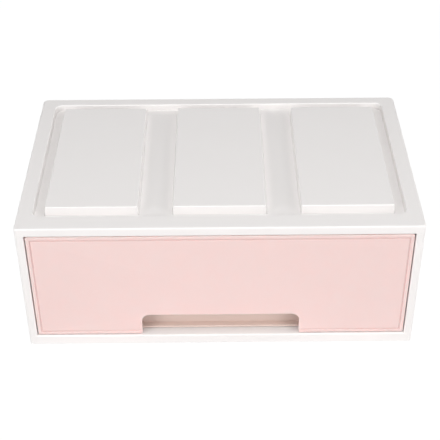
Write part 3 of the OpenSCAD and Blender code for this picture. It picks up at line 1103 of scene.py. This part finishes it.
@dataclass
class Tray(Part):
    """The sliding tray: a drafted shell with a rim at its sides and rear, a ledge, runners and stop lugs."""

    clips: Clips = Clips()
    corner: float = 5 * MM
    bottom_edge: float = 2.6 * MM
    rim: float = 2 * MM
    rim_edge: float = 0.6 * MM
    mouth_edge: float = 0.4 * MM
    ledge_edge: float = 0.5 * MM
    wall_set_back: float = 0.1 * MM
    runner_x: float = 118 * MM
    runner_drop: float = 0.45 * MM
    lug_y: float = 165 * MM
    lug: float = 4 * MM
    lug_drop: float = 8 * MM
    body: ClassVar[str] = "drawer"

    def shell(self) -> None:
        """The shell as one profile: up outside, out and over the rim, down inside.

        The rim and the draft leave out the front. Its growth is min(g + draft (top - z) / height, -set back).
        """
        s, shape = self.sizes, self.shape
        floor, top, wall = s.tray_floor, s.tray_top, s.tray_wall
        foot = -s.tray_draft
        profile = rounded([
            (foot - self.bottom_edge, floor, 0), (foot, floor, self.bottom_edge),
            (0, top - wall, 0), (self.rim, top - wall, self.mouth_edge),
            (self.rim, top, self.rim_edge), (-wall, top, self.mouth_edge),
            (foot - wall, floor + wall, self.bottom_edge), (foot - wall - self.bottom_edge, floor + wall, 0),
        ])
        growth, z = profile.T
        upright = np.minimum(growth + s.tray_draft * (top - z) / (top - floor), -self.wall_set_back)
        rows = np.stack([growth, growth, growth, upright, z], axis=1)
        plan = rectangle((-s.tray_half, s.tray_half), (s.y(s.tray_front), s.tray_rear), self.corner)
        shape.solid(plan, rows)

    def build(self) -> None:
        """Makes the tray."""
        s, shape = self.sizes, self.shape
        near, floor, top = s.y(s.tray_front), s.tray_floor, s.tray_top
        self.shell()
        reach, wide = s.tray_foot - self.bottom_edge, s.tray_foot
        shape.slab((-reach, reach), (near - s.ledge, near + self.bottom_edge),
                   (floor, floor + s.tray_wall), self.ledge_edge)
        cap = s.face_z[1] - s.front_flange - s.tray_gap
        shape.slab((-wide, wide), (near, near + s.tray_wall - self.wall_set_back),
                   (floor + s.tray_wall / 2, cap))
        runner = (self.runner_x - s.runner / 2, self.runner_x + s.runner / 2)
        run = (near, s.tray_rear - s.tray_draft - self.bottom_edge)
        lug = (s.y(self.lug_y), s.y(self.lug_y + self.lug))
        inner, outer = s.lug_x
        for side in (-1, 1):
            shape.slab(mirrored(side, *runner), run, (floor - self.runner_drop, floor + s.tray_wall / 2))
            shape.slab(mirrored(side, s.tray_half - s.tray_wall, outer), lug,
                       (top - self.lug_drop, top + s.tray_wall))
            shape.slab(mirrored(side, inner, outer - OVERLAP), inset(lug),
                       (top, s.rim - s.lid_wall - s.guide_gap))
        tray = shape.build("tray")
        cut(tray, self.slots())
        self.dress(tray, "drawer_tray")

    def slots(self) -> bpy.types.Object:
        """The cutter for the slots that the clips of the drawer front pass through."""
        s, c = self.sizes, self.clips
        near = s.y(s.tray_front)
        half = c.width / 2 + c.clearance
        shape = Moulding()
        for x, z in c.spots(s):
            shape.slab((x - half, x + half), (near - PAST, near + s.tray_wall + PAST),
                       (z - c.thick / 2 - c.clearance, z + c.thick / 2 + c.barb + c.clearance))
        return shape.build("slots")


@dataclass
class DrawerFront(Part):
    """The clip-on face: a shallow shell with the finger cut-out and a fine line round its edge."""

    clips: Clips = Clips()
    thick: float = 2.4 * MM
    corner: float = 1.6 * MM
    edge: float = 1 * MM
    pull_half: float = 67 * MM
    pull_corner: float = 7 * MM
    pull_foot: float = 1.5 * MM
    pull_sides: ClassVar[slice] = slice(4, 7)
    pull_edge_share: float = 0.4
    line_inset: float = 2.7 * MM
    line_width: float = 2 * MM
    line_depth: float = 0.5 * MM
    line_lift: float = 0.03 * MM
    line_level_share: float = 0.25
    body: ClassVar[str] = "drawer"
    stand: ClassVar[Stand] = Stand.UPRIGHT

    @property
    def front(self) -> float:
        """The height of the face over the plane Y = 0, towards the viewer."""
        return -self.sizes.y(self.sizes.front_inset)

    @property
    def back(self) -> float:
        """The height of the back of the plate."""
        return self.front - self.thick

    @property
    def rear(self) -> float:
        """The height where the flanges end."""
        return -self.sizes.y(self.sizes.front_depth)

    def plate(self) -> None:
        """The face, with the cut-out in its lower side, round which its edges are rounded less."""
        s, shape = self.sizes, self.shape
        low, high = s.face_z
        pull = low + s.pull_rise
        outline = Outline.drawn([
            (s.face, low, self.corner), (s.face, high, self.corner),
            (-s.face, high, self.corner), (-s.face, low, self.corner),
            (-self.pull_half, low, self.pull_foot), (-self.pull_half, pull, self.pull_corner),
            (self.pull_half, pull, self.pull_corner), (self.pull_half, low, self.pull_foot),
        ])
        share = np.ones(len(outline.corners))
        share[self.pull_sides] = self.pull_edge_share
        profile = rounded([(0, self.back, 0), (0, self.front, self.edge), (-self.edge, self.front, 0)])
        shape.solid(outline, np.concatenate([profile[:, :1] * share, profile[:, 1:]], axis=1))

    def flanges(self) -> None:
        """The side and top flanges that slip over the tray, and the bottom ones beside the cut-out."""
        s, shape = self.sizes, self.shape
        t, root = s.front_flange, self.back + s.seam
        low, high = inset(s.face_z)
        outer, inner, under = s.face - OVERLAP, s.face - t, s.face_z[1] - t
        shape.solid(Outline.drawn([
            (outer, low, self.corner), (outer, high, self.corner),
            (-outer, high, self.corner), (-outer, low, self.corner),
            (-inner, low, s.seam), (-inner, under, s.seam), (inner, under, s.seam), (inner, low, s.seam),
        ]), rounded([(-s.seam, self.rear, 0), (0, self.rear, s.seam), (0, root, 0)]))
        ledge = -(s.y(s.tray_front) - s.ledge - s.tray_gap)
        for side in (-1, 1):
            shape.slab(mirrored(side, self.pull_half + self.pull_foot, inner + s.seam),
                       (low, s.face_z[0] + t), (ledge, root))

    def arms(self) -> None:
        """The clip arms with their barbs."""
        s, c, shape = self.sizes, self.clips, self.shape
        tip, half = self.rear - c.barb - c.clearance, c.width / 2
        for x, z in c.spots(s):
            arm = (x - half, x + half)
            shape.slab(arm, (z - c.thick / 2, z + c.thick / 2), (tip, self.back + s.seam))
            shape.slab(inset(arm), (z, z + c.thick / 2 + c.barb), (tip + OVERLAP, tip + c.barb), c.edge)

    def line(self) -> bpy.types.Object:
        """The cutter for the fine line: a groove carried round the face.

        Its depth at the distance x from its middle is (depth + lift) cos^2(pi x / width) - lift.

        Returns:
            The cutter.
        """
        s = self.sizes
        x = np.linspace(-0.5, 0.5, GROOVE_STEPS + 1)
        depth = (self.line_depth + self.line_lift) * np.cos(math.pi * x) ** 2 - self.line_lift
        bed = np.stack([self.line_width * (x - 0.5), self.front - depth], axis=1)
        outside = [[0, self.front + PAST], [-self.line_width, self.front + PAST]]
        frame = rectangle((-s.face, s.face), s.face_z, self.corner).grown(-self.line_inset)
        shape = Moulding(Stand.UPRIGHT)
        shape.trace([(frame, np.concatenate([bed, outside, bed[:1]]))])
        return shape.build("line")

    def shade_line(self, mesh: bpy.types.Mesh) -> None:
        """Gives the fine line edge values below zero, which paint shade into it with the hollow colour.

        At the share q of the way across the line, the value is -cos^2(pi (q - 1/2)), and a share of that
        in the level parts, where the painted shade is fainter.

        Args:
            mesh: The finished mesh.
        """
        s = self.sizes
        low, high = s.face_z
        places = read(mesh.vertices, "co", 3)
        x, _, z = places[read(mesh.loops, "vertex_index", kind=np.int32)].T
        from_side, from_end = s.face - np.abs(x), np.minimum(z - low, high - z)
        across = np.minimum(from_side, from_end) - self.line_inset
        inside = (across > 0) & (across < self.line_width)
        share = np.where(from_side < from_end, 1.0, self.line_level_share)
        # Painted shade in the groove, deepest in its middle.
        bed = share * np.cos(math.pi * (across / self.line_width - 0.5)) ** 2
        edge = mesh.attributes["edge"].data
        edge.foreach_set("value", np.where(inside, -bed, read(edge, "value")))

    def build(self) -> None:
        """Makes the drawer front."""
        self.plate()
        self.flanges()
        self.arms()
        piece = self.shape.build("drawer_face")
        cut(piece, self.line())
        self.dress(piece, "drawer_front")
        # Paints shade into the fine line.
        self.shade_line(piece.data)


# ---------- the set ----------


@dataclass(frozen=True)
class Lamp:
    """A soft square lamp that looks at the middle of the box.

    Its azimuth is in degrees, 0 in front and 90 at the right, its elevation in degrees over the horizon and
    its power in watts.
    """

    name: str
    azimuth: float
    elevation: float
    power: float
    size: float = 1.5
    distance: float = 2.2

    def light(self, target: Vector) -> None:
        """Puts the lamp in the scene.

        Args:
            target: Where it points.
        """
        a, e = math.radians(self.azimuth), math.radians(self.elevation)
        away = Vector((math.sin(a) * math.cos(e), -math.cos(a) * math.cos(e), math.sin(e)))
        data = bpy.data.lights.new(self.name, "AREA")
        data.size = self.size
        data.energy = self.power
        lamp = bpy.data.objects.new(self.name, data)
        lamp.location = target + away * self.distance
        lamp.rotation_euler = away.to_track_quat("Z", "Y").to_euler()
        bpy.context.scene.collection.objects.link(lamp)


LAMPS = (
    Lamp("front_left", -50, 21, 16.4, size=1.0),
    Lamp("front_right", 50, 21, 16.4, size=1.0),
    Lamp("front_high", 0, 65, 11.2, size=1.0, distance=1.5),
    Lamp("right_fill", 90, 38, 6.0),
    Lamp("left_fill", -90, 38, 2.0),
)


@dataclass
class Studio:
    """The camera, the lamps, the world and the pale floor."""

    sizes: Sizes
    lamps: tuple[Lamp, ...] = LAMPS
    focal_px: float = 1069.7
    eye: tuple[float, float, float] = (-1.33 * MM, -674.9 * MM, 644.9 * MM)
    yaw: float = math.radians(0.1257)
    pitch: float = math.radians(37.156)
    roll: float = math.radians(-0.400)
    world_strength: float = 0.1
    world_colour: Colour = (0.985, 0.99, 1.0)
    background: Colour = (1.0, 1.0, 1.0)
    floor_side: float = 6.0
    floor_corner: float = 1 * MM
    floor_drop: float = 0.2 * MM
    floor_colour: float = 0.86
    floor_glow: float = 1.06
    floor_glow_share: float = 0.92

    def camera(self) -> None:
        """Sets the camera at the photograph's viewing angle. Its eye is given from the front of the case."""
        data = bpy.data.cameras.new("camera")
        data.sensor_width = SENSOR
        data.lens = self.focal_px / PHOTO_SIDE * SENSOR
        data.clip_start, data.clip_end = CLIP
        camera = bpy.data.objects.new("camera", data)
        x, y, z = self.eye
        turns = ((-self.yaw, "Z"), (math.pi / 2 - self.pitch, "X"), (self.roll, "Z"))
        place = Matrix.Translation((x, self.sizes.y(y), z))
        for angle, axis in turns:
            place = place @ Matrix.Rotation(angle, 4, axis)
        camera.matrix_world = place
        bpy.context.scene.collection.objects.link(camera)
        bpy.context.scene.camera = camera

    def show(self, tree: bpy.types.NodeTree, lit: bpy.types.Node, seen: bpy.types.Node, share: float,
             end: str) -> None:
        """Ends a tree in one shader for rays from the camera, mirror rays and rays through glass.

        Args:
            tree: The material's or the world's nodes.
            lit: The shader for all other rays.
            seen: The shader for those rays.
            share: Its share for them.
            end: The type of the tree's output.
        """
        path = add_node(tree, "ShaderNodeLightPath").outputs
        direct = path["Is Camera Ray"]
        for title in ("Is Glossy Ray", "Is Transmission Ray"):
            direct = compute(tree, "MAXIMUM", direct, path[title])
        inputs = {0: compute(tree, "MULTIPLY", direct, share), 1: lit.outputs[0], 2: seen.outputs[0]}
        mix = add_node(tree, "ShaderNodeMixShader", inputs)
        add_node(tree, end, {"Surface": mix.outputs[0]})

    def world(self) -> None:
        """A white surround, dimmer as a light than as a background."""
        world = bpy.data.worlds.new("white_surround")
        bpy.context.scene.world = world
        world.use_nodes = True
        tree = world.node_tree
        tree.nodes.clear()
        lit, seen = (
            add_node(tree, "ShaderNodeBackground", {"Color": colour, "Strength": strength})
            for colour, strength in ((self.world_colour, self.world_strength), (self.background, 1.0))
        )
        self.show(tree, lit, seen, 1.0, "ShaderNodeOutputWorld")

    def floor(self) -> None:
        """A white floor that is nearly as bright as the background and keeps a faint shadow."""
        side = (-self.floor_side / 2, self.floor_side / 2)
        shape = Moulding()
        shape.flat(rectangle(side, side, self.floor_corner).ring(), -self.floor_drop)
        floor = shape.build("floor")
        material = bpy.data.materials.new("white_floor")
        material.use_nodes = True
        tree = material.node_tree
        tree.nodes.clear()
        matt = add_node(tree, "ShaderNodeBsdfDiffuse", {"Color": (self.floor_colour,) * 3})
        glow = add_node(tree, "ShaderNodeEmission", {"Strength": self.floor_glow})
        self.show(tree, matt, glow, self.floor_glow_share, "ShaderNodeOutputMaterial")
        floor.data.materials.append(material)

    def build(self) -> None:
        """Sets up the whole studio."""
        self.camera()
        self.world()
        self.floor()
        target = Vector((0.0, 0.0, self.sizes.rim / 2))
        for lamp in self.lamps:
            lamp.light(target)
        bpy.context.scene.view_settings.view_transform = "Standard"


def main() -> None:
    """Builds the box around the frame, then the set."""
    logging.basicConfig(level=logging.INFO, format="%(name)s: %(message)s")
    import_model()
    low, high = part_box("top_cover")
    sizes = Sizes(half=high.x, front=low.y, rear=high.y, rim=high.z - Lid.proud)
    Lid(sizes, CASE_WHITE).build()
    SidePanel(sizes, CASE_WHITE).build(-1, "left_wall", "left_side_panel")
    SidePanel(sizes, CASE_WHITE).build(1, "right_wall", "right_side_panel")
    BackPanel(sizes, CASE_WHITE).build()
    Base(sizes, CASE_WHITE).build()
    Tray(sizes, TRAY_WHITE).build()
    DrawerFront(sizes, FRONT_PINK).build()
    Studio(sizes).build()


if __name__ == "__main__":
    main()
